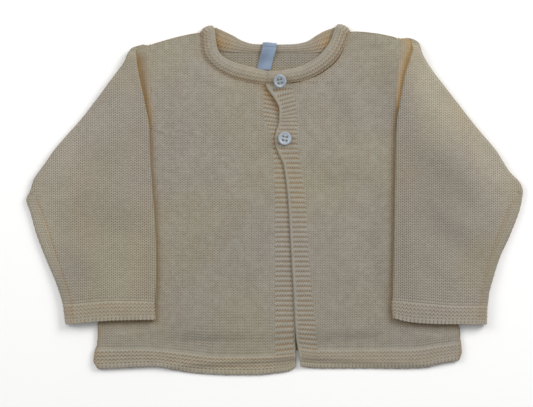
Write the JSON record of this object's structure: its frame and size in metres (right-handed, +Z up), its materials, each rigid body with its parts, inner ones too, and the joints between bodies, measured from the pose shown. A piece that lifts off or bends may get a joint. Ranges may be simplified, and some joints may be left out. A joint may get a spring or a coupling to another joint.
{
  "type": "knitted baby cardigan",
  "caption": "Baby's cream knitted cardigan laid flat, buttoned at the neck, sleeves folded over the front, with garter bands, hem, cuffs and neckband.",
  "frame": {"origin": "centre of the bounding box's bottom face, on the surface that the cardigan lies on", "axes": "+X to the viewer's right across the chest, which is the wearer's left; +Y from the hem to the neck; +Z up from the surface, out of the front"},
  "size_m": [0.3973, 0.2813, 0.015],
  "materials": {
    "knit": "cream wool, stocking stitch with garter borders",
    "button": "pearly, slightly translucent grey-white",
    "label": "pale blue-white woven satin ribbon, bare"
  },
  "bodies": {
    "root": {"back": "knit", "front_right": "knit", "front_left": "knit", "sleeve_right": "knit", "sleeve_left": "knit", "neckband": "knit", "label": "label", "button_top": "button", "button_lower": "button"}
  },
  "joints": []
}
